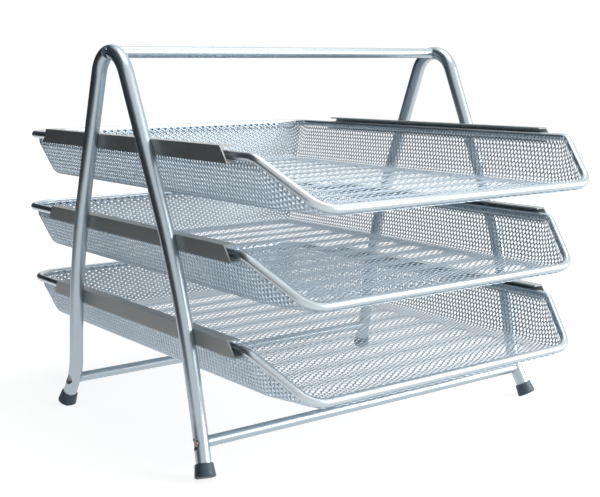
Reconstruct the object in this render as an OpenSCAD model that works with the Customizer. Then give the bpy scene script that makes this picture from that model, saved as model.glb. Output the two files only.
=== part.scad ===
// Three open-front mesh letter trays that slide in rails on a bent-tube carry stand.
// X runs from the left frame to the right frame, Y to the back, Z up. The feet stand on Z = 0.

/* [Stand] */
// Distance between the centre planes of the two side frames
frame_w = 280; // [270:1:320]
// Outside diameter of the side frames' tube
leg_d = 10; // [8:0.5:12]
// Wall of the side frames' tube
leg_wall = 1; // [0.8:0.1:1.5]
// Height of the tube's centre at the top of the frame
apex_h = 263.5; // [250:0.5:280]
// Bend radius at the top of the frame
apex_r = 22; // [16:1:26]
// Lean of the upper legs from upright, in degrees
leg_lean = 24; // [22:0.5:26]
// Lean of the lower legs from upright, in degrees
leg_toe = 10; // [8:0.5:12]
// Height where the upper and lower legs' lines would meet
bow_h = 118; // [112:1:124]
// Height where the bow runs out into the straight lower leg
bow_end_h = 63; // [58:0.5:68]

/* [Leg ends and feet] */
// Height where the lower leg's line meets the line of its outward kick
kick_h = 28; // [26:0.5:30]
// Bend radius of the kick
kick_r = 80; // [60:5:85]
// Sideways splay of the leg ends, in degrees
splay_x = 9.5; // [6:0.5:12]
// Forward and backward splay of the leg ends, in degrees
splay_y = 25; // [20:0.5:28]
// Wall of a foot at its top
foot_wall = 0.9; // [0.8:0.1:1.5]
// How much wider a foot's base is than its top, on each side
foot_flare = 0.9; // [0.5:0.1:1.5]
// Length of a foot along the leg end
foot_len = 9; // [8.5:0.5:11]
// Rubber left under the tube inside a foot
foot_sole = 2.5; // [2:0.25:3.5]
// Radius of the rounded edge at a foot's base
foot_edge_r = 1.2; // [0.8:0.1:1.6]
// How far the foot's lowest edge is pressed flat by the floor
foot_press = 0.8; // [0.5:0.1:1.2]
// Gap between a foot's bore and the tube
foot_gap = 0.1; // [0.05:0.05:0.3]

/* [Bars] */
// Outside diameter of the handle bar and crossbars
bar_d = 7.5; // [6.5:0.25:8.5]
// Wall of the handle bar and crossbars
bar_wall = 0.8; // [0.6:0.1:1.2]
// Height of the crossbars' centre
crossbar_h = 22; // [20:0.5:24]
// Gap between a bar's saddled end and the frame tube
saddle_gap = 0.1; // [0.05:0.05:0.3]

/* [Screws] */
// Diameter of the screws' thread
screw_d = 3; // [2.5:0.1:3.5]
// Diameter of the screws' heads
screw_head_d = 5.2; // [4.8:0.1:5.6]
// Height of the screws' heads
screw_head_h = 1.4; // [1:0.1:2]
// Length of thread inside a bar's plug
screw_grip = 9; // [6:0.5:14]
// Gap round a screw in its hole
screw_gap = 0.15; // [0.1:0.05:0.3]
// Length of the tapped plug in a bar's end
plug_len = 14; // [12:0.5:20]
// Gap between a plug's end and the frame tube
plug_inset = 0.5; // [0.4:0.1:1]
// Gap between a plug and the bar's bore
plug_gap = 0.05; // [0.02:0.01:0.1]
// Depth of the pressed dent under a screw's head
seat_depth = 1.7; // [1.2:0.1:2]
// Width of the dent beyond the screw's head, on each side
seat_margin = 1.3; // [0.8:0.1:1.5]

/* [Rails] */
// Height of the top tier's rails, to their upper face
rail_top = 209.5; // [203:0.5:215]
// Height from one tier to the next
tier_pitch = 58; // [50:0.5:60]
// Height of a rail
rail_h = 10; // [9.5:0.25:14]
// Length of a rail along its lower edge
rail_len = 269; // [240:1:275]
// How much shorter the upper edge is at each end
rail_slant = 7.5; // [3:0.5:12]
// Sheet thickness of the rails
rail_sheet = 1; // [0.8:0.1:1.2]
// Distance from the frame's centre plane to the rail's outer face
rail_inset = 3.4; // [3:0.1:4]
// Width of a rail's upper flange
top_flange = 8; // [6:0.5:9]
// Gap between the lower flange's edge and the basket's wall
flange_gap = 0.4; // [0.3:0.1:0.5]
// Gap between a rail's pressed saddle and the leg
weld_gap = 0.1; // [0.05:0.05:0.2]

/* [Trays] */
// Diameter of the rim wire
rim_d = 5.5; // [5:0.25:6]
// Side play between the rim and the rail's saddles
side_play = 1.5; // [1:0.25:2.5]
// Gap between the rim and the lower flange it slides on
slide_gap = 0.3; // [0.2:0.05:0.5]
// Length of a tray from the centre of its back rim to the centre of its front rim
tray_len = 376; // [350:1:390]
// Forward run of the rim's sloping front ends
front_run = 39; // [30:1:45]
// Drop of the rim from the sides to the front
front_drop = 28; // [24:0.5:30]
// How far the rim's front corners stand in from its sides
front_inset = 20; // [18:0.5:22]
// How far the walls lean in from rim to floor
wall_inset = 13; // [11:0.5:14]
// Plan radius of the rim's back corners
back_corner_r = 22; // [22:1:30]
// Bend radius where the side rim turns down
side_bend_r = 12; // [8:1:16]
// Bend radius of the rim's front corners
front_corner_r = 16; // [10:1:20]
// Thickness of the mesh
mesh_t = 1; // [0.8:0.1:1.2]
// Radius between the basket's walls and floor
floor_r = 7; // [5:0.5:8]
// Plan radius where the walls turn in towards the front corners
wall_turn_r = 60; // [40:5:80]
// Gap between the basket's edge and the rim
edge_gap = 0.15; // [0.1:0.05:0.3]

/* [Floor ribs] */
// Number of ribs stamped across a floor
rib_count = 11; // [6:1:12]
// Distance from one rib to the next
rib_pitch = 29; // [24:0.5:30]
// Width of a rib
rib_w = 14; // [8:0.5:16]
// Height of a rib above the floor
rib_h = 2; // [1:0.25:2.5]
// Distance from a rib's ends to the flat floor's edge
rib_margin = 16; // [12:0.5:20]

/* [Openings] */
// Number of openings across a floor, along a side wall and across a back wall, in place of the fine mesh
opening_count = 12; // [8:1:12]
// Metal left between two openings
opening_web = 3.5; // [3:0.5:6]

/* [Positions] */
// Gap between the rim's bend and the rail's end when a tray is pushed home
home_gap = 0.3; // [0.2:0.1:2]
// How far the top tray stands pulled out
top_tray_out = 14; // [0:0.5:60]

/* [Hidden] */
$fn = 64;
hair = 0.01;
function unit(v) = v / norm(v);
leg_r = leg_d / 2;
bar_r = bar_d / 2;
rim_r = rim_d / 2;
tiers = ["top", "middle", "bottom"];

// Side frame, worked out in its own plane as [y, z]
apex_vertex_z = apex_h - apex_r + apex_r / sin(leg_lean);
bow_y = (apex_vertex_z - bow_h) * tan(leg_lean);
bow_tangent = (bow_h - bow_end_h) / cos(leg_toe);
bow_r = bow_tangent / tan((leg_lean - leg_toe) / 2);
bow_start_z = bow_h + bow_tangent * cos(leg_lean);
bow_centre_y = bow_y - bow_tangent * sin(leg_lean) - bow_r * cos(leg_lean);
bow_centre_z = bow_start_z - bow_r * sin(leg_lean);
kick_y = leg_y(kick_h);
function leg_y(z) =
    z > bow_start_z ? (apex_vertex_z - z) * tan(leg_lean) :
    z < bow_end_h ? bow_y + (bow_h - z) * tan(leg_toe) :
    bow_centre_y + sqrt(bow_r * bow_r - (z - bow_centre_z) * (z - bow_centre_z));
function leg_lean_at(z) =
    z > bow_start_z ? leg_lean :
    z < bow_end_h ? leg_toe :
    asin((z - bow_centre_z) / bow_r);

// The kick bends the leg outwards to both sides; places are [outwards in X, outwards in Y, Z]
leg_run = [0, sin(leg_toe), -cos(leg_toe)];
end_run = unit([tan(splay_x), tan(splay_y), -1]);
kick_turn = acos(leg_run * end_run);
kick_in = unit(end_run - leg_run * (leg_run * end_run));
kick_start = [0, kick_y, kick_h] - leg_run * kick_r * tan(kick_turn / 2);
function kick_at(z) =
    let (a = leg_run[2])
    let (b = kick_in[2])
    atan2(b, a) - 180 - asin(((z - kick_start[2]) / kick_r - b) / norm([a, b]));
// The crossbars meet the legs inside the kick
crossbar_turn = kick_at(crossbar_h);
crossbar_place = kick_start + kick_r * (leg_run * sin(crossbar_turn) + kick_in * (1 - cos(crossbar_turn)));
crossbar_run = leg_run * cos(crossbar_turn) + kick_in * sin(crossbar_turn);
crossbar_half_w = frame_w / 2 + crossbar_place[0];
crossbar_y = crossbar_place[1];

// A leg end and its foot share this axis, tilted so that the foot stands on its inner edge
end_dir = [-end_run[0], -end_run[1], end_run[2]];
foot_tilt = acos(-end_dir[2]);
foot_top_d = leg_d + 2 * foot_gap + 2 * foot_wall;
foot_base_d = foot_top_d + 2 * foot_flare;
foot_low = (foot_base_d / 2 - foot_edge_r) * sin(foot_tilt) + foot_edge_r * (1 - cos(foot_tilt));
foot_base_h = foot_low - foot_press;
kick_point = [-frame_w / 2, -kick_y, kick_h];
foot_base = kick_point + (kick_h - foot_base_h) / -end_dir[2] * end_dir;
leg_end = foot_base - foot_sole * end_dir;

// Rails and rims
rail_outer_x = frame_w / 2 - rail_inset;
saddle_r = leg_r + weld_gap;
saddle_inner_x = frame_w / 2 - saddle_r - rail_sheet;
rim_x = saddle_inner_x - side_play - rim_r;
function rail_z(tier) = rail_top - rail_h - tier * tier_pitch;
function rim_z(tier) = rail_z(tier) + rail_sheet + slide_gap + rim_r;

// Rim of a tray: the slope runs from the side bend down to the front corner
slope = [front_inset, -front_run, -front_drop];
side_turn = acos(front_run / norm(slope));
side_tangent = side_bend_r * tan(side_turn / 2);
bend_y = -rail_len / 2 - side_tangent - home_gap;
front_y = bend_y - front_run;
back_y = front_y + tray_len;
function tray_out(tier) = tier == 0 ? top_tray_out : 0;

// Basket wall as a profile: s runs down the wall, round the floor radius and onto the floor, which
// lies just under the front rim
wall_drop = front_drop + rim_r + edge_gap + mesh_t / 2;
wall_angle = atan(wall_inset / wall_drop);
wall_len = norm([wall_inset, wall_drop]);
floor_turn = 90 - wall_angle;
floor_tangent = floor_r * tan(floor_turn / 2);
wall_start = rim_r + edge_gap + mesh_t / 2;
wall_straight = wall_len - floor_tangent;
floor_arc = floor_r * floor_turn * PI / 180;
floor_lip = 2;
profile_len = wall_straight + floor_arc + floor_lip;
// The lower flange reaches under the rim, up to the outer face of the basket's wall
flange_reach = (rim_r + slide_gap) * tan(wall_angle) - mesh_t / 2 / cos(wall_angle) - flange_gap;
bottom_flange = rail_outer_x - rim_x + flange_reach;
flat_inset = wall_inset + floor_tangent;
// Point of the profile as [inset, height, inward normal x, inward normal z]
function profile(s) =
    s < wall_straight ?
        [s * sin(wall_angle), -s * cos(wall_angle), cos(wall_angle), sin(wall_angle)] :
    s < wall_straight + floor_arc ?
        let (a = (s - wall_straight) / floor_r * 180 / PI)
        [flat_inset - floor_r * sin(floor_turn - a), -wall_drop + floor_r * (1 - cos(floor_turn - a)),
         sin(floor_turn - a), cos(floor_turn - a)] :
        [flat_inset + s - wall_straight - floor_arc, -wall_drop, 0, 1];
flat_half_w = rim_x - flat_inset;
flat_back_y = back_y - flat_inset;
flat_front_y = front_y + rim_r;
// In front of the side bends the walls turn in, so that the sloping rim lies in line with them
front_turn = atan((front_inset - wall_inset * front_drop / wall_drop) / front_run);
wall_turn_y = bend_y + wall_turn_r * tan(front_turn / 2);
rib_half_len = flat_half_w - rib_margin;
rib_middle_y = (flat_back_y + flat_front_y) / 2;

// Openings: in the floor between the ribs, and in the flat stretches of the walls
opening_pitch = 2 * (flat_half_w - opening_web) / opening_count;
opening_w = opening_pitch - opening_web;
opening_len = rib_pitch - rib_w - opening_web;
opening_top = -wall_start * cos(wall_angle) - opening_web;
opening_bottom = profile(wall_straight)[1] + opening_web / 2;

// Centres the whole set over the origin, front to back
module placed() {
    translate([0, -(back_y + front_y - max(0, top_tray_out)) / 2, 0]) children();
}

// Puts a child drawn from the origin along +Z, with its X side turned to side, at a point along a direction
module along(point, dir, side) {
    z = unit(dir);
    y = unit(cross(z, side));
    x = cross(y, z);
    multmatrix([
        [x[0], y[0], z[0], point[0]],
        [x[1], y[1], z[1], point[1]],
        [x[2], y[2], z[2], point[2]],
        [0, 0, 0, 1]
    ]) children();
}

// Corner i of a path, counted round when the path is closed
function corner(path, i) = path[(i + len(path)) % len(path)];
function turn(path, i) =
    let (into = unit(corner(path, i) - corner(path, i - 1)))
    let (out = unit(corner(path, i + 1) - corner(path, i)))
    acos(max(-1, min(1, into * out)));
function is_end(path, closed, i) = !closed && (i == 0 || i == len(path) - 1);
function reach(path, radii, i) = radii[i] * tan(turn(path, i) / 2);

// Round bar along a path of straight runs, with a true bend of its own radius at each corner.
// The bends are a hair thicker, and the straight runs end just inside them.
// A longer run at both open ends lets one bar cut right through another.
module bent_bar(path, radii, d, closed = false, longer = 0) {
    n = len(path);
    lap = 0.3;
    for (i = [0 : closed ? n - 1 : n - 2]) {
        j = (i + 1) % n;
        way = unit(path[j] - path[i]);
        from = path[i] + way * (is_end(path, closed, i) ? -longer : reach(path, radii, i) - lap);
        to = path[j] - way * (is_end(path, closed, j) ? -longer : reach(path, radii, j) - lap);
        along(from, way, abs(way[2]) > 0.9 ? [0, 1, 0] : [0, 0, 1])
            cylinder(d = d, h = norm(to - from));
    }
    for (i = [0 : n - 1])
        if (!is_end(path, closed, i)) {
            into = unit(path[i] - corner(path, i - 1));
            out = unit(corner(path, i + 1) - path[i]);
            start = path[i] - into * reach(path, radii, i);
            inward = unit(out - into * (into * out));
            along(start + inward * radii[i], cross(-inward, into), -inward)
                rotate_extrude(angle = turn(path, i))
                    translate([radii[i], 0]) circle(d = d + 4 * hair);
        }
}

// Bent tube of the left frame, from the front leg's end over the apex to the rear leg's end
function mirror_y(p) = [p[0], -p[1], p[2]];
leg_path = [leg_end, kick_point, [-frame_w / 2, -bow_y, bow_h], [-frame_w / 2, 0, apex_vertex_z]];
frame_path = [
    leg_path[0], leg_path[1], leg_path[2], leg_path[3],
    mirror_y(leg_path[2]), mirror_y(leg_path[1]), mirror_y(leg_path[0])
];
frame_bends = [0, kick_r, bow_r, apex_r, bow_r, kick_r, 0];

// Places of the three screws on the left frame's centre line
screw_points = [
    [-frame_w / 2, 0, apex_h],
    [-crossbar_half_w, -crossbar_y, crossbar_h],
    [-crossbar_half_w, crossbar_y, crossbar_h]
];
seat_r = screw_head_d / 2 + seat_margin;
seat_x = leg_r - seat_depth - screw_head_h / 2;

module left_frame_tube() {
    difference() {
        bent_bar(frame_path, frame_bends, leg_d);
        // The bore stops short of each pressed seat
        difference() {
            bent_bar(frame_path, frame_bends, leg_d - 2 * leg_wall, longer = leg_wall);
            for (p = screw_points)
                translate(p) rotate([0, -90, 0])
                    translate([0, 0, seat_x - leg_wall]) cylinder(r = seat_r + leg_wall, h = leg_d);
        }
        for (p = screw_points)
            translate(p) rotate([0, -90, 0]) {
                translate([0, 0, seat_x]) cylinder(r = seat_r, h = leg_d);
                translate([0, 0, -leg_d]) cylinder(d = screw_d + 2 * screw_gap, h = 2 * leg_d);
            }
    }
}

module left_side_frame() {
    color("silver") placed() left_frame_tube();
}

module right_side_frame() {
    color("silver") placed() mirror([1, 0, 0]) left_frame_tube();
}

// Tube across the stand, its ends saddled to the left frame's run there and its mirror image
module cross_tube(half_w, y, z, run) {
    difference() {
        translate([-half_w, y, z]) rotate([0, 90, 0]) cylinder(d = bar_d, h = 2 * half_w);
        translate([-half_w - hair, y, z]) rotate([0, 90, 0])
            cylinder(d = bar_d - 2 * bar_wall, h = 2 * half_w + 2 * hair);
        for (right = [0, 1])
            mirror([right, 0, 0])
                along([-half_w, y, z] - run * leg_d * 2, run, [1, 0, 0])
                    cylinder(r = leg_r + saddle_gap, h = leg_d * 4);
    }
}

module handle_bar() {
    color("silver") placed() cross_tube(frame_w / 2, 0, apex_h, [0, 1, 0]);
}

module front_crossbar() {
    run = [crossbar_run[0], crossbar_run[1], -crossbar_run[2]];
    color("silver") placed() cross_tube(crossbar_half_w, -crossbar_y, crossbar_h, run);
}

module rear_crossbar() {
    run = [crossbar_run[0], -crossbar_run[1], -crossbar_run[2]];
    color("silver") placed() cross_tube(crossbar_half_w, crossbar_y, crossbar_h, run);
}

// Pan-head screw with a cross recess, head outwards on its seat, both sides of the stand
module screw_pair(half_w, y, z) {
    for (side = [-1, 1])
        translate([side * half_w, y, z]) rotate([0, side * 90, 0])
            difference() {
                union() {
                    translate([0, 0, seat_x])
                        cylinder(d1 = screw_head_d, d2 = screw_head_d * 0.8, h = screw_head_h);
                    translate([0, 0, -leg_r - screw_grip])
                        cylinder(d = screw_d, h = leg_r + screw_grip + seat_x + screw_head_h / 4);
                }
                for (a = [0, 90])
                    rotate(a) translate([-screw_head_d / 4, -0.3, seat_x + screw_head_h / 2])
                        cube([screw_head_d / 2, 0.6, screw_head_h]);
            }
}

module handle_screws() {
    color("gray") placed() screw_pair(frame_w / 2, 0, apex_h);
}

module crossbar_screws() {
    color("gray") placed() {
        screw_pair(crossbar_half_w, -crossbar_y, crossbar_h);
        screw_pair(crossbar_half_w, crossbar_y, crossbar_h);
    }
}

// Tapped plug pressed into both ends of a bar, just inside the saddle
module plug_pair(half_w, y, z) {
    for (side = [-1, 1])
        translate([side * (half_w - leg_r - plug_inset), y, z]) rotate([0, -side * 90, 0])
            difference() {
                cylinder(d = bar_d - 2 * bar_wall - 2 * plug_gap, h = plug_len);
                translate([0, 0, -hair]) cylinder(d = screw_d + 2 * screw_gap, h = plug_len + 2 * hair);
            }
}

module handle_bar_plugs() {
    color("dimgray") placed() plug_pair(frame_w / 2, 0, apex_h);
}

module crossbar_plugs() {
    color("dimgray") placed() {
        plug_pair(crossbar_half_w, -crossbar_y, crossbar_h);
        plug_pair(crossbar_half_w, crossbar_y, crossbar_h);
    }
}

// Slip-on cap along the leg end, flared to its rounded base, pressed flat where it meets the floor
foot_edge = [for (a = [0, 30, 60, 90])
    [foot_base_d / 2 - foot_edge_r * (1 - sin(a)), foot_edge_r * (1 - cos(a))]];
module front_left_cap() {
    difference() {
        along(foot_base, -end_dir, [1, 0, 0])
            difference() {
                rotate_extrude()
                    polygon(concat([[0, 0]], foot_edge, [[foot_top_d / 2, foot_len], [0, foot_len]]));
                translate([0, 0, foot_sole - foot_gap])
                    cylinder(d = leg_d + 2 * foot_gap, h = foot_len);
            }
        translate([foot_base[0] - foot_base_d, foot_base[1] - foot_base_d, -foot_base_d])
            cube([2 * foot_base_d, 2 * foot_base_d, foot_base_d]);
    }
}

module foot(right, rear) {
    color("darkslategray") placed() mirror([right, 0, 0]) mirror([0, rear, 0]) front_left_cap();
}

module front_left_foot() {
    foot(0, 0);
}

module front_right_foot() {
    foot(1, 0);
}

module rear_left_foot() {
    foot(0, 1);
}

module rear_right_foot() {
    foot(1, 1);
}

// Left rail of a tier: a folded channel open to the tray, its ends cut slanting, pressed round both legs
module left_rail(tier) {
    z0 = rail_z(tier);
    x0 = -rail_outer_x;
    middle = z0 + rail_h / 2;
    difference() {
        union() {
            intersection() {
                translate([0, rail_len / 2, 0]) rotate([90, 0, 0]) linear_extrude(rail_len)
                    difference() {
                        translate([x0, z0]) square([rail_h * 1.5, rail_h]);
                        translate([x0 + rail_sheet, z0 + rail_sheet])
                            square([rail_h * 1.5, rail_h - 2 * rail_sheet]);
                        translate([x0 + bottom_flange, z0 - hair]) square([rail_h, rail_h / 2]);
                        translate([x0 + top_flange, z0 + rail_h / 2]) square([rail_h, rail_h]);
                    }
                translate([x0 - hair, 0, 0]) rotate([90, 0, 90]) linear_extrude(rail_h * 2)
                    polygon([
                        [-rail_len / 2, z0], [rail_len / 2, z0],
                        [rail_len / 2 - rail_slant, z0 + rail_h], [-rail_len / 2 + rail_slant, z0 + rail_h]
                    ]);
            }
            intersection() {
                for (side = [-1, 1])
                    leg_round(side, middle, saddle_r + rail_sheet);
                translate([x0, -rail_len / 2, z0]) cube([leg_d, rail_len, rail_h]);
            }
        }
        for (side = [-1, 1])
            leg_round(side, middle, saddle_r);
    }
}

// Cylinder on the run of the left frame's front or rear leg at a height
module leg_round(side, z, r) {
    dir = [0, -side * sin(leg_lean_at(z)), cos(leg_lean_at(z))];
    along([-frame_w / 2, side * leg_y(z), z] - dir * rail_h, dir, [1, 0, 0]) cylinder(r = r, h = 2 * rail_h);
}

module rail(tier, right) {
    color("slategray") placed() mirror([right, 0, 0]) left_rail(tier);
}

module top_left_rail() {
    rail(0, 0);
}

module top_right_rail() {
    rail(0, 1);
}

module middle_left_rail() {
    rail(1, 0);
}

module middle_right_rail() {
    rail(1, 1);
}

module bottom_left_rail() {
    rail(2, 0);
}

module bottom_right_rail() {
    rail(2, 1);
}

// Moves a tray drawn with its rim at Z = 0 into its rails
module in_rails(tier) {
    translate([0, -tray_out(tier), rim_z(tier)]) children();
}

// Closed rim wire round the tray
module rim_wire() {
    bent_bar([
        [-rim_x + front_inset, front_y, -front_drop],
        [-rim_x, bend_y, 0],
        [-rim_x, back_y, 0],
        [rim_x, back_y, 0],
        [rim_x, bend_y, 0],
        [rim_x - front_inset, front_y, -front_drop]
    ], [
        front_corner_r, side_bend_r, back_corner_r, back_corner_r, side_bend_r, front_corner_r
    ], rim_d, closed = true);
}

// Section of the basket's wall as [inset from the rim, height], made larger all round by grow
arc_steps = 6;
function wall_stations(grow) = concat(
    [wall_start - grow],
    [for (i = [0 : arc_steps]) wall_straight + floor_arc * i / arc_steps],
    [profile_len + 5 * grow]
);
function wall_face(side, grow) = [for (s = wall_stations(grow))
    let (p = profile(s))
    [p[0] + side * (mesh_t / 2 + grow) * p[2], p[1] + side * (mesh_t / 2 + grow) * p[3]]];
function wall_section(grow) =
    let (outer = wall_face(-1, grow))
    let (inner = wall_face(1, grow))
    concat(outer, [for (i = [len(inner) - 1 : -1 : 0]) inner[i]]);

// Straight run of wall towards -Y from the origin, leaning in towards +X
module wall_run(length) {
    rotate([90, 0, 0]) linear_extrude(length) polygon(wall_section(0));
}

// Walls on the sides and back; the rounded corners are a hair thicker and the runs end inside them
module basket_walls() {
    lap = 0.3;
    corner_y = back_y - back_corner_r;
    corner_x = rim_x - back_corner_r;
    for (right = [0, 1])
        mirror([right, 0, 0]) {
            translate([-rim_x, corner_y + lap, 0]) wall_run(corner_y - wall_turn_y + 2 * lap);
            translate([-corner_x, corner_y, 0]) rotate([0, 0, 90]) wall_bend(back_corner_r, 90);
            translate([-rim_x + wall_turn_r, wall_turn_y, 0]) {
                rotate([0, 0, 180]) wall_bend(wall_turn_r, front_turn);
                rotate([0, 0, front_turn])
                    translate([-wall_turn_r, lap, 0]) wall_run(front_run + front_corner_r);
            }
        }
    translate([corner_x + lap, back_y, 0]) rotate([0, 0, -90]) wall_run(2 * corner_x + 2 * lap);
}

// Wall bent in plan round the origin, from +X, with the radius of its upper edge
module wall_bend(radius, angle) {
    rotate_extrude(angle = angle) polygon([for (p = wall_section(2 * hair)) [radius - p[0], p[1]]]);
}

// Everything above the line that the walls' front ends are cut to, just under the sloping rim
slope_start = wall_start * norm([front_run / cos(front_turn), front_drop / cos(wall_angle)])
    / front_run * cos(front_turn);
bend_start_y = bend_y + side_tangent;
bend_end_y = bend_y - side_tangent * front_run / norm(slope);
function slope_z(y) = -slope_start * cos(wall_angle) - (bend_y - y) * front_drop / front_run;
module front_cut() {
    low_y = front_y - front_run;
    end_y = front_y + rim_r;
    translate([-rim_x - rim_r, 0, 0]) rotate([90, 0, 90]) linear_extrude(2 * (rim_x + rim_r))
        polygon([
            [low_y, -2 * wall_drop], [end_y, -2 * wall_drop],
            [end_y, slope_z(end_y)], [bend_end_y, slope_z(bend_end_y)],
            [bend_start_y + 1, -wall_start * cos(wall_angle) + mesh_t],
            [bend_start_y + 1, front_drop], [low_y, front_drop]
        ]);
}

// Stadium across the floor for one rib
module rib_shape(grow) {
    r = rib_w / 2 + grow;
    square([2 * (rib_half_len - rib_w / 2), 2 * r], center = true);
    for (side = [-1, 1])
        translate([side * (rib_half_len - rib_w / 2), 0]) circle(r = r);
}

// Left edge of the floor: along the lip of the walls, then out to the front corner of the rim
floor_edge_x = -flat_half_w + floor_lip / 2;
floor_turn_y = bend_y + (flat_inset + floor_lip / 2) * tan(front_turn / 2);
floor_near_y = front_y + front_corner_r;
floor_left = [
    [floor_edge_x, flat_back_y - floor_lip / 2],
    [floor_edge_x, floor_turn_y],
    [floor_edge_x + (floor_turn_y - floor_near_y) * tan(front_turn), floor_near_y],
    [-rim_x + front_inset + rim_r, front_y + rim_r],
    [-rim_x + front_inset + front_corner_r, front_y]
];

// Openings between the ribs; the floor narrows in front, so the first row leaves out the outer ones
module floor_openings() {
    for (row = [0 : rib_count], column = [0 : opening_count - 1]) {
        x = (column - (opening_count - 1) / 2) * opening_pitch;
        y = rib_middle_y + (row - rib_count / 2) * rib_pitch;
        if (row > 0 || abs(x) + opening_w / 2 < rib_half_len)
            translate([x, y]) square([opening_w, opening_len], center = true);
    }
}

// Bars that cut one row of openings in a wall, from a start to an end along +X and right through in Y
module wall_openings(start, end, depth) {
    pitch = (end - start - opening_web) / opening_count;
    for (i = [0 : opening_count - 1])
        translate([start + opening_web + i * pitch, -depth / 2, opening_bottom])
            cube([pitch - opening_web, depth, opening_top - opening_bottom]);
}

// The floor is a hair thinner than the walls' lip it joins
module basket() {
    floor_z = -wall_drop - mesh_t / 2;
    difference() {
        union() {
            difference() {
                basket_walls();
                front_cut();
                rotate([0, 0, 90])
                    wall_openings(wall_turn_y, back_y - back_corner_r, 2 * rim_x);
                translate([0, back_y, 0])
                    wall_openings(back_corner_r - rim_x, rim_x - back_corner_r, 2 * flat_inset);
            }
            translate([0, 0, floor_z + 4 * hair]) linear_extrude(mesh_t - 8 * hair)
                difference() {
                    polygon(concat(floor_left, [for (i = [len(floor_left) - 1 : -1 : 0])
                        [-floor_left[i][0], floor_left[i][1]]]));
                    floor_openings();
                }
            ribs(floor_z + mesh_t / 2, mesh_t / 2 + rib_h, 0);
        }
        ribs(floor_z - rib_h, 2 * rib_h, -mesh_t);
    }
}

module ribs(z, h, grow) {
    for (i = [0 : rib_count - 1])
        translate([0, rib_middle_y + (i - (rib_count - 1) / 2) * rib_pitch, z])
            linear_extrude(h) rib_shape(grow);
}

module tray_rim(tier) {
    color("silver") placed() in_rails(tier) rim_wire();
}

module tray_basket(tier) {
    color("lightgray") placed() in_rails(tier) basket();
}

module top_tray_rim() {
    tray_rim(0);
}

module top_tray_basket() {
    tray_basket(0);
}

module middle_tray_rim() {
    tray_rim(1);
}

module middle_tray_basket() {
    tray_basket(1);
}

module bottom_tray_rim() {
    tray_rim(2);
}

module bottom_tray_basket() {
    tray_basket(2);
}

left_side_frame();
right_side_frame();
handle_bar();
front_crossbar();
rear_crossbar();
handle_screws();
crossbar_screws();
handle_bar_plugs();
crossbar_plugs();
front_left_foot();
front_right_foot();
rear_left_foot();
rear_right_foot();
top_left_rail();
top_right_rail();
middle_left_rail();
middle_right_rail();
bottom_left_rail();
bottom_right_rail();
top_tray_rim();
top_tray_basket();
middle_tray_rim();
middle_tray_basket();
bottom_tray_rim();
bottom_tray_basket();
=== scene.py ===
from math import atan, cos, hypot, pi, radians, sin, tan

import bpy
import numpy as np
from mathutils import Matrix, Vector


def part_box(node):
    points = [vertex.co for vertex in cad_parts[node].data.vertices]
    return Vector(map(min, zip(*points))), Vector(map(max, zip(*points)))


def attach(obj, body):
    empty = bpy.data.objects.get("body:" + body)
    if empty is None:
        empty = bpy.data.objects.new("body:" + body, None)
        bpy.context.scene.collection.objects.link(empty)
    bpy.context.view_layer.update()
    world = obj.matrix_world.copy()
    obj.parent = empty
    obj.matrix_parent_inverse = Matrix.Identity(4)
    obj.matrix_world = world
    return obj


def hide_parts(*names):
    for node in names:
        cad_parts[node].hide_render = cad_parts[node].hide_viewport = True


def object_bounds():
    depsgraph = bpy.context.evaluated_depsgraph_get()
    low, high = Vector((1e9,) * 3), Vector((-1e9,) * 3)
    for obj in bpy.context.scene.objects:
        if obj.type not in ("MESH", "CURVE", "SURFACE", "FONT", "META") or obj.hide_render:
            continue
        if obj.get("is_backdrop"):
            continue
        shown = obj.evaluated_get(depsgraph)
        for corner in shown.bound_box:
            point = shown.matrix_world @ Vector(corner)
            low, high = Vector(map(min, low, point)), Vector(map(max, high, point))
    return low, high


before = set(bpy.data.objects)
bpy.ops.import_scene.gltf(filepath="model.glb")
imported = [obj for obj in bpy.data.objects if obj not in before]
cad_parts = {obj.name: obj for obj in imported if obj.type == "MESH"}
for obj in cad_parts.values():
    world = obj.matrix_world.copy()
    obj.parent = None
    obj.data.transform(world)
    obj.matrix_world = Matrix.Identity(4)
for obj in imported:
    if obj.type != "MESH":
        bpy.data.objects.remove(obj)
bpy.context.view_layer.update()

# The view: a camera in front of the left side frame, a little below the handle and looking down.
# Its lens is shifted, so that the tray set sits to the left of the lens axis and above it.
mm = 0.001
picture_w, axis_right, axis_down = 600.0, 80.0, 81.5
view_place = Vector((-464.0, -689.1, 252.0)) * mm
view_turn, view_dip, view_roll = radians(38.5), radians(13.38), radians(-0.41)
forward = Vector((sin(view_turn) * cos(view_dip), cos(view_turn) * cos(view_dip), -sin(view_dip)))
level = Vector((cos(view_turn), -sin(view_turn), 0.0))
upright = level.cross(forward)
right = cos(view_roll) * level + sin(view_roll) * upright
up = cos(view_roll) * upright - sin(view_roll) * level
camera = bpy.data.objects.new("camera", bpy.data.cameras.new("camera"))
camera.data.sensor_width, camera.data.lens = 36.0, 66.0
camera.data.shift_x, camera.data.shift_y = -axis_right / picture_w, axis_down / picture_w
camera.data.clip_start = 0.02
camera.matrix_world = (Matrix.Translation(view_place)
                       @ Matrix((right, up, -forward)).transposed().to_4x4())
bpy.context.scene.collection.objects.link(camera)
bpy.context.scene.camera = camera
bpy.context.scene.view_settings.view_transform = "Standard"


# The studio: a sheet of white paper on the table and white walls, which the lens and the shiny
# paint see as plain white. The light comes from soft boxes to the right and overhead.
def srgb(code):
    """A colour with alpha, from its sRGB hex value."""
    parts = [int(code[i:i + 2], 16) / 255.0 for i in (1, 3, 5)]
    return tuple(c / 12.92 if c <= 0.04045 else ((c + 0.055) / 1.055) ** 2.4 for c in parts) + (1.0,)


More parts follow.
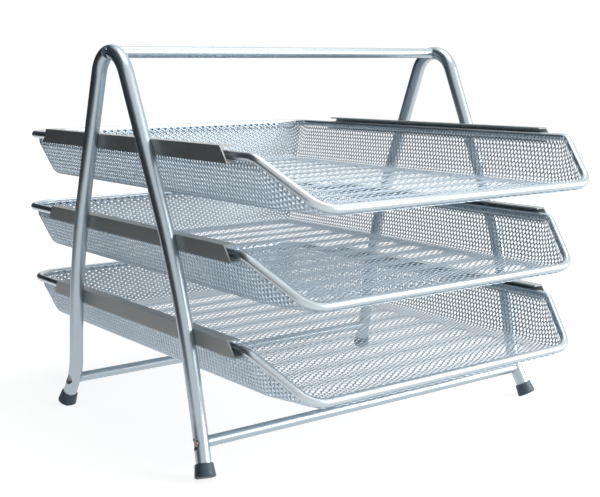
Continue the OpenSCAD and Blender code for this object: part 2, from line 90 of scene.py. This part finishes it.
def add(tree, kind, settings={}, links={}):
    """A new node with its own settings, and values or links on its inputs."""
    node = tree.nodes.new(kind)
    for name, value in settings.items():
        setattr(node, name, value)
    for name, value in links.items():
        if isinstance(value, bpy.types.NodeSocket):
            tree.links.new(value, node.inputs[name])
        else:
            node.inputs[name].default_value = value
    return node


def seen_as_white(tree):
    """1 for what the lens, a shiny surface or a clear one sees, and 0 for plain light."""
    ray = add(tree, "ShaderNodeLightPath").outputs
    lens = add(tree, "ShaderNodeMath", {"operation": "MAXIMUM"},
               {0: ray["Is Camera Ray"], 1: ray["Is Transmission Ray"]})
    return add(tree, "ShaderNodeMath", {"operation": "MAXIMUM"},
               {0: lens.outputs[0], 1: ray["Is Glossy Ray"]}).outputs[0]


wall_light = 0.04
walls = bpy.data.worlds.new("white_walls")
bpy.context.scene.world = walls
walls.use_nodes = True
tree = walls.node_tree
tree.nodes.clear()
strength = add(tree, "ShaderNodeMapRange", {},
               {"Value": seen_as_white(tree), "To Min": wall_light, "To Max": 1.0})
shine = add(tree, "ShaderNodeBackground", {},
            {"Color": srgb("#ffffff"), "Strength": strength.outputs[0]})
add(tree, "ShaderNodeOutputWorld", {}, {"Surface": shine.outputs[0]})


def new_material(name):
    """An empty material, and the tree that its nodes go in."""
    made = bpy.data.materials.new(name)
    made.use_nodes = True
    made.node_tree.nodes.clear()
    return made, made.node_tree


# The paper is matt, with a painted white glow that is full away from the stand and weaker near it, a
# painted dimming that lets the stand's shadow show.
paper_half, near_stand, off_stand = 6.0, 0.4, 1.2
glow_near, glow_off = 0.86, 1.0
sheet = bpy.data.objects.new("paper_sheet", bpy.data.meshes.new("paper_sheet"))
sheet.data.from_pydata(
    [(x * paper_half, y * paper_half, 0) for x, y in ((-1, -1), (1, -1), (1, 1), (-1, 1))],
    [], [(0, 1, 2, 3)])
bpy.context.scene.collection.objects.link(sheet)
paper, tree = new_material("white_paper")
matt = add(tree, "ShaderNodeBsdfDiffuse", {}, {"Color": srgb("#aaaaaa")})
place = add(tree, "ShaderNodeTexCoord").outputs["Object"]
far = add(tree, "ShaderNodeVectorMath", {"operation": "LENGTH"}, {0: place})
# Painted dimming: the glow fades from glow_off far out to glow_near round the stand.
painted_glow_falloff = add(tree, "ShaderNodeMapRange", {}, {
    "Value": far.outputs["Value"], "From Min": near_stand, "From Max": off_stand,
    "To Min": glow_near, "To Max": glow_off})
glow = add(tree, "ShaderNodeEmission", {}, {"Color": srgb("#ffffff"), "Strength": painted_glow_falloff.outputs[0]})
lit = add(tree, "ShaderNodeAddShader", {}, {0: matt.outputs[0], 1: glow.outputs[0]})
both = add(tree, "ShaderNodeMixShader", {},
           {0: seen_as_white(tree), 1: matt.outputs[0], 2: lit.outputs[0]})
add(tree, "ShaderNodeOutputMaterial", {}, {"Surface": both.outputs[0]})
sheet.data.materials.append(paper)
sheet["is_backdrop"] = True

stand_middle = Vector((0, 0, 0.12))


def soft_box(name, place, size, power):
    """A square lamp behind a white cloth, in metres and watts, turned to the middle of the stand."""
    lamp = bpy.data.lights.new(name, "AREA")
    lamp.size, lamp.energy = size, power
    made = bpy.data.objects.new(name, lamp)
    made.location = place
    made.rotation_euler = (stand_middle - Vector(place)).to_track_quat("-Z", "Y").to_euler()
    bpy.context.scene.collection.objects.link(made)


soft_box("right_box", (1.5, -1.7, 0.75), 1.2, 40)
soft_box("top_box", (0.4, -0.1, 2.2), 1.6, 22)

# A dark card, folded once, stands to the left and behind, out of the picture, for the paint to
# mirror: it gives the tubes and the rims their dark edges. It is covered in matt felt.
card_line, card_foot, card_top = ((-0.42, -0.2), (-0.42, 1.4), (0.25, 1.4)), 0.002, 1.8
card = bpy.data.objects.new("dark_card", bpy.data.meshes.new("dark_card"))
card.data.from_pydata([(x, y, z) for x, y in card_line for z in (card_foot, card_top)], [],
                      [(0, 2, 3, 1), (2, 4, 5, 3)])
bpy.context.scene.collection.objects.link(card)
card.visible_camera = card.visible_shadow = False
felt, tree = new_material("dark_felt")
nap = add(tree, "ShaderNodeBsdfDiffuse", {}, {"Color": srgb("#484e54")})
add(tree, "ShaderNodeOutputMaterial", {}, {"Surface": nap.outputs[0]})
card.data.materials.append(felt)
card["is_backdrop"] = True


# The side frames, the handle and the crossbars: steel tube, bent to shape, with the side frames'
# legs kicked out at the feet. The bars are screwed on, and all of it is sprayed silver, with the
# handle's screws.
def sprayed_silver(name, dark, pale, gloss, dull, metal, streak=1.0):
    """Silver lacquer, fine metal flake in a clear coat: bright where it faces the light, dark where
    it turns away, with the faint ripple of spraying. A streak below 1 draws the flake out in Y."""
    flake_mm = 0.8  # the real flake is too fine to show, so this is coarser
    ripple_mm, ripple_deep = 3.0, 0.0002
    made, tree = new_material(name)
    place = add(tree, "ShaderNodeTexCoord").outputs["Object"]
    drawn = add(tree, "ShaderNodeMapping", {}, {"Vector": place, "Scale": (1.0, streak, 1.0)})
    flake = add(tree, "ShaderNodeTexNoise", {},
                {"Vector": drawn.outputs[0], "Scale": 1000 / flake_mm, "Detail": 2.0})
    ripple = add(tree, "ShaderNodeTexNoise", {},
                 {"Vector": place, "Scale": 1000 / ripple_mm, "Detail": 1.0})
    tone = add(tree, "ShaderNodeMix", {"data_type": "RGBA"}, {"Factor": flake.outputs["Fac"]})
    tone.inputs["A"].default_value, tone.inputs["B"].default_value = srgb(dark), srgb(pale)
    sheen = add(tree, "ShaderNodeMapRange", {},
                {"Value": flake.outputs["Fac"], "To Min": gloss, "To Max": dull})
    bumps = add(tree, "ShaderNodeBump", {},
                {"Strength": 0.02, "Distance": ripple_deep, "Height": ripple.outputs["Fac"]})
    coat = add(tree, "ShaderNodeBsdfPrincipled", {}, {
        "Base Color": tone.outputs["Result"], "Metallic": metal, "Roughness": sheen.outputs[0],
        "Normal": bumps.outputs[0]})
    add(tree, "ShaderNodeOutputMaterial", {}, {"Surface": coat.outputs[0]})
    return made


def finish_in(material, *names):
    """Gives CAD pieces their finish."""
    for name in names:
        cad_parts[name].data.materials.clear()
        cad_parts[name].data.materials.append(material)


# Painted shade: this copy of the silver is darker than the wire's, for the darker look of the tubes.
tube_silver = sprayed_silver("silver_lacquer_on_tube", "#aebac2", "#b7c3ca", 0.32, 0.38, 1.0)
finish_in(tube_silver, "left_side_frame", "right_side_frame", "handle_bar", "front_crossbar",
          "rear_crossbar", "handle_screws")

# The crossbars' screws, and the plugs in the bars' ends that all the screws bite into: turned steel.
# Plated steel: a thin plating that has gone a little brown, shiny in places and dull in others.
stain_mm = 1.5
plated, tree = new_material("plated_steel")
place = add(tree, "ShaderNodeTexCoord").outputs["Object"]
stain = add(tree, "ShaderNodeTexNoise", {},
            {"Vector": place, "Scale": 1000 / stain_mm, "Detail": 3.0})
tone = add(tree, "ShaderNodeMix", {"data_type": "RGBA"}, {"Factor": stain.outputs["Fac"]})
tone.inputs["A"].default_value, tone.inputs["B"].default_value = srgb("#7d726c"), srgb("#b3a79f")
sheen = add(tree, "ShaderNodeMapRange", {},
            {"Value": stain.outputs["Fac"], "To Min": 0.28, "To Max": 0.45})
metal = add(tree, "ShaderNodeBsdfPrincipled", {},
            {"Base Color": tone.outputs["Result"], "Metallic": 1.0, "Roughness": sheen.outputs[0]})
add(tree, "ShaderNodeOutputMaterial", {}, {"Surface": metal.outputs[0]})
finish_in(plated, "crossbar_screws", "handle_bar_plugs", "crossbar_plugs")

# The feet: slip-on caps of soft grey plastic, moulded and pushed over the ends of the legs.
# Soft PVC: a dull sheen, a fine moulded grain, and a paler bloom here and there.
grain_mm, grain_deep, bloom_mm = 0.5, 0.0001, 6.0
soft_pvc, tree = new_material("soft_pvc")
place = add(tree, "ShaderNodeTexCoord").outputs["Object"]
grain = add(tree, "ShaderNodeTexNoise", {},
            {"Vector": place, "Scale": 1000 / grain_mm, "Detail": 2.0})
bloom = add(tree, "ShaderNodeTexNoise", {},
            {"Vector": place, "Scale": 1000 / bloom_mm, "Detail": 3.0})
tone = add(tree, "ShaderNodeMix", {"data_type": "RGBA"}, {"Factor": bloom.outputs["Fac"]})
tone.inputs["A"].default_value, tone.inputs["B"].default_value = srgb("#4f6170"), srgb("#667a88")
sheen = add(tree, "ShaderNodeMapRange", {},
            {"Value": bloom.outputs["Fac"], "To Min": 0.38, "To Max": 0.55})
bumps = add(tree, "ShaderNodeBump", {},
            {"Strength": 0.15, "Distance": grain_deep, "Height": grain.outputs["Fac"]})
skin = add(tree, "ShaderNodeBsdfPrincipled", {}, {
    "Base Color": tone.outputs["Result"], "Roughness": sheen.outputs[0], "IOR": 1.53,
    "Normal": bumps.outputs[0]})
add(tree, "ShaderNodeOutputMaterial", {}, {"Surface": skin.outputs[0]})
finish_in(soft_pvc, "front_left_foot", "front_right_foot", "rear_left_foot", "rear_right_foot")

# The rails: strips of steel sheet, folded to a channel and pressed round the legs, which they are
# welded to. The same silver is thinner here, over the faint lengthwise lines of the rolled sheet.
tiers = ("top", "middle", "bottom")
sheet_silver = sprayed_silver("silver_lacquer_on_sheet", "#babfbe", "#c8ccca", 0.30, 0.42, 0.2,
                              streak=0.04)
finish_in(sheet_silver, *[f"{tier}_{side}_rail" for tier in tiers for side in ("left", "right")])

# The rims: one round steel wire for each tray, bent round it, its ends butt-welded, and sprayed.
# The wire's copy of the silver is painted paler than the tube's copy: a painted highlight that makes the
# rims read white, where the tube's darker copy is painted shade.
wire_silver = sprayed_silver("silver_lacquer_on_wire", "#bec8cf", "#c7d1d7", 0.32, 0.38, 1.0)
finish_in(wire_silver, *[f"{tier}_tray_rim" for tier in tiers])

# The baskets: each is one sheet of expanded steel mesh, slit and drawn out into diamonds, pressed
# to shape with ribs across its floor, lapped inside its rim, welded to it and sprayed with it.
# Sizes are in mm. Places start from the rim's middle line: Y at its front, Z at its back and sides.
rim_r, tray_len, front_run, front_drop, front_inset = 2.75, 376.0, 39.0, 28.0, 20.0
rim_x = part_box("top_tray_rim")[1][0] / mm - rim_r
wall_inset, wall_drop, floor_r, corner_r, turn_r = 13.0, 31.4, 7.0, 22.0, 60.0
front_turn = radians(12.166)
lift = pi / 2 - atan(wall_inset / wall_drop)
flat_inset = wall_inset + floor_r * tan(lift / 2)
bend_len = floor_r * lift
wall_len = hypot(wall_inset, wall_drop) - floor_r * tan(lift / 2)
floor_x, floor_y = rim_x - flat_inset, tray_len - flat_inset
turn_y = front_run + turn_r * tan(front_turn / 2)
rib_count, rib_pitch, rib_w, rib_h, rib_ramp, rib_margin = 11, 29.0, 14.0, 2.0, 7.0, 16.0
rib_middle = (floor_y + rim_r) / 2
strand_t = 0.5
lip_start, lip_end = 7.0, 1.0
tiny = 1e-6


def reach_past_floor(x, y):
    """How far a point of the flat sheet lies past the edge of the floor, and which way that is."""
    back_r, front_r = corner_r - flat_inset, turn_r - flat_inset
    a, b = np.abs(x) - floor_x + back_r, y - floor_y + back_r
    both = (a > 0) & (b > 0)
    far = np.where(both, np.hypot(a, b), np.maximum(a, b))
    ux = np.where(both, a / np.maximum(far, tiny), a >= b)
    uy = np.where(both, b / np.maximum(far, tiny), a < b)
    c, d = np.abs(x) - floor_x + front_r, turn_y - y
    angle = np.clip(np.arctan2(d, np.maximum(c, tiny)), 0, front_turn)
    front = d > 0
    reach = np.where(front, c * np.cos(angle) + d * np.sin(angle) - front_r, far - back_r)
    return reach, np.where(front, np.cos(angle), ux), np.where(front, -np.sin(angle), uy)


def rounded(corners, radii, steps=8):
    """A closed line through rounded corners."""
    line = []
    for i, r in enumerate(radii):
        here, before, after = corners[i], corners[i - 1], corners[(i + 1) % len(corners)]
        to, on = (before - here).normalized(), (after - here).normalized()
        half = to.angle(on) / 2
        middle = here + (to + on).normalized() * r / sin(half)
        start = here + to * r / tan(half) - middle
        end = here + on * r / tan(half) - middle
        turn = start.angle(end)
        line += [middle + (start * sin(turn * (1 - k / steps)) + end * sin(turn * k / steps)) / sin(turn)
                 for k in range(steps + 1)]
    return np.array(line)


rim_line = rounded([Vector(v) for v in (
    (rim_x - front_inset, 0, -front_drop), (rim_x, front_run, 0), (rim_x, tray_len, 0),
    (-rim_x, tray_len, 0), (-rim_x, front_run, 0), (-rim_x + front_inset, 0, -front_drop))],
    (16, 12, 22, 22, 12, 16))


def beside_rim(places):
    """Which places lie within the rim, seen from above, and how far each is from its middle line."""
    inside, near = np.zeros(places.shape[:-1], bool), np.full(places.shape[:-1], 1e9)
    for a, b in zip(rim_line, np.roll(rim_line, -1, 0)):
        t = np.clip((places - a) @ (b - a) / ((b - a) @ (b - a)), 0, 1)
        near = np.minimum(near, np.linalg.norm(places - a - t[..., None] * (b - a), axis=-1))
        if a[1] != b[1]:
            crossed = (a[1] > places[..., 1]) != (b[1] > places[..., 1])
            along = (places[..., 1] - a[1]) / (b[1] - a[1])
            inside ^= crossed & (places[..., 0] < a[0] + along * (b[0] - a[0]))
    return inside, near


def eased(t):
    """A soft step from 0 to 1."""
    return t * t * (3 - 2 * t)


def pressed(x, y):
    """Where the press puts a point of the flat sheet, which way its upper face looks there, and
    whether the point is inside the rim and how near to it, before the edge is lapped against it."""
    reach, ux, uy = reach_past_floor(x, y)
    s = np.maximum(reach, 0)
    bend = np.minimum(s, bend_len) / floor_r
    rise = np.maximum(s - bend_len, 0)
    out = floor_r * np.sin(bend) + rise * cos(lift)
    side = np.where(x < 0, -1.0, 1.0)
    nearest_rib = np.clip(np.round((y - rib_middle) / rib_pitch), -(rib_count // 2), rib_count // 2)
    across = np.abs((y - rib_middle) - rib_pitch * nearest_rib)
    past = np.maximum(np.abs(x) - floor_x + rib_margin + rib_w / 2, 0)
    rib = eased(np.clip((rib_w / 2 - np.hypot(across, past)) / rib_ramp + 0.5, 0, 1))
    z = floor_r * (1 - np.cos(bend)) + rise * sin(lift) - wall_drop + rib_h * rib
    place = np.stack([side * (np.abs(x) + ux * (out - s)), y + uy * (out - s), z], -1)
    upper = np.stack([-side * ux * np.sin(bend), -uy * np.sin(bend), np.cos(bend)], -1)
    inside, near = beside_rim(place)
    lap = eased(np.clip((lip_start - near) / (lip_start - lip_end), 0, 1) * np.sin(bend) / sin(lift))
    return place + upper * ((rim_r + strand_t / 2) * lap)[..., None], upper, inside, near


# The sheet is a lattice of diamonds, each with a hole in its middle. Drawing it out twists the
# strands a little, and the press closes the holes up on the walls, most of all at the back. On a
# wall and on the floor, the diamonds stop at different distances from the rim's middle line.
diamond_x, diamond_y = 6.2, 3.5
floor_hole, side_hole, back_hole = 0.63, 0.55, 0.38
strand_twist, spare = -0.2, 4
wall_stop, floor_stop, floor_like = 1.6, 0.9 * rim_r, 0.9
columns = int((floor_x + bend_len + wall_len + spare) / diamond_x * 2)
rows = int((floor_y + bend_len + wall_len + spare) / diamond_y * 2)
I, J = np.meshgrid(np.arange(-columns, columns + 1), np.arange(-2, rows + 1), indexing="ij")
X, Y = I * diamond_x / 2, J * diamond_y / 2
reach, _, back = reach_past_floor(X, Y)
keep = ((I + J) % 2 == 0) & (reach < bend_len + wall_len)
place, upper, inside, near = pressed(X[keep], Y[keep])
keep[keep] = inside & (near > np.where(upper[:, 2] < floor_like, wall_stop, floor_stop))
ci, cj = np.nonzero(keep)
ring = ((1, 0), (0, 1), (-1, 0), (0, -1))

# Points: the knots where strands meet, above and below, then the four corners of each hole.
knot = np.zeros(keep.shape, int)
for di, dj in ring:
    knot[ci + di, cj + dj] = 1
used = knot > 0
count, cells = int(used.sum()), len(ci)
knot[used] = np.arange(count)
place, upper = pressed(X[used], Y[used])[:2]
points = [place + upper * strand_t / 2, place - upper * strand_t / 2]
flat = [np.stack([X[used], Y[used]], -1)] * 2
share = np.where(reach > 0, np.where(back > 0.5, back_hole, side_hole), floor_hole)[ci, cj] / 2
for di, dj in ring:
    x, y = X[ci, cj] + di * diamond_x * share, Y[ci, cj] + dj * diamond_y * share
    place, upper = pressed(x, y)[:2]
    points.append(place - upper * dj * strand_twist)
    flat.append(np.stack([x, y], -1))
points, flat = np.concatenate(points) * mm, np.concatenate(flat)
outer = np.stack([knot[ci + di, cj + dj] for di, dj in ring], -1)
hole = 2 * count + np.arange(4)[None, :] * cells + np.arange(cells)[:, None]

# Faces: from each side of a diamond to its hole, above and below, and the cut edge of the sheet.
# Spread flat, the lower face lies beside the upper one, and the cut edge is a narrow strip.
lower_aside, strip_x, strip_y, border = (400.0, 0.0), 0.6, 0.5, 2
faces, spread = [], []
for e in range(4):
    f = (e + 1) % 4
    faces.append(np.stack([outer[:, e], outer[:, f], hole[:, f], hole[:, e]], -1))
    spread.append(flat[faces[-1]])
    faces.append(np.stack([outer[:, f] + count, outer[:, e] + count, hole[:, e], hole[:, f]], -1))
    spread.append(flat[faces[-1]] + lower_aside)
    di, dj = ring[e][0] + ring[f][0], ring[e][1] + ring[f][1]
    cut = ~keep[ci + di, cj + dj]
    faces.append(np.stack([outer[cut, f], outer[cut, e], outer[cut, e] + count, outer[cut, f] + count], -1))
    strip = flat[faces[-1]].copy()
    strip[:, 2:] += (di * strip_x, dj * strip_y)
    spread.append(strip)
faces, spread = np.concatenate(faces), np.concatenate(spread)
formed = bpy.data.meshes.new("formed_mesh")
formed.from_pydata(points.tolist(), [], faces.tolist())
formed.shade_smooth()
corners = spread.reshape(-1, 2)
spread = (spread - corners.min(0) + border) / (np.ptp(corners, axis=0) + 2 * border)
formed.uv_layers.new(name="OFBake").data.foreach_set("uv", spread.ravel())
formed.materials.append(sprayed_silver("silver_lacquer_on_mesh", "#bdcbd6", "#c7d4de", 0.40, 0.48, 1.0))

for tier in tiers:
    low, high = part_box(f"{tier}_tray_rim")
    basket = bpy.data.objects.new(f"{tier}_tray_mesh", formed)
    basket.location = (0, low[1] + rim_r * mm, high[2] - rim_r * mm)
    bpy.context.scene.collection.objects.link(basket)
    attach(basket, f"{tier}_tray")
    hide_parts(f"{tier}_tray_basket")

low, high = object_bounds()
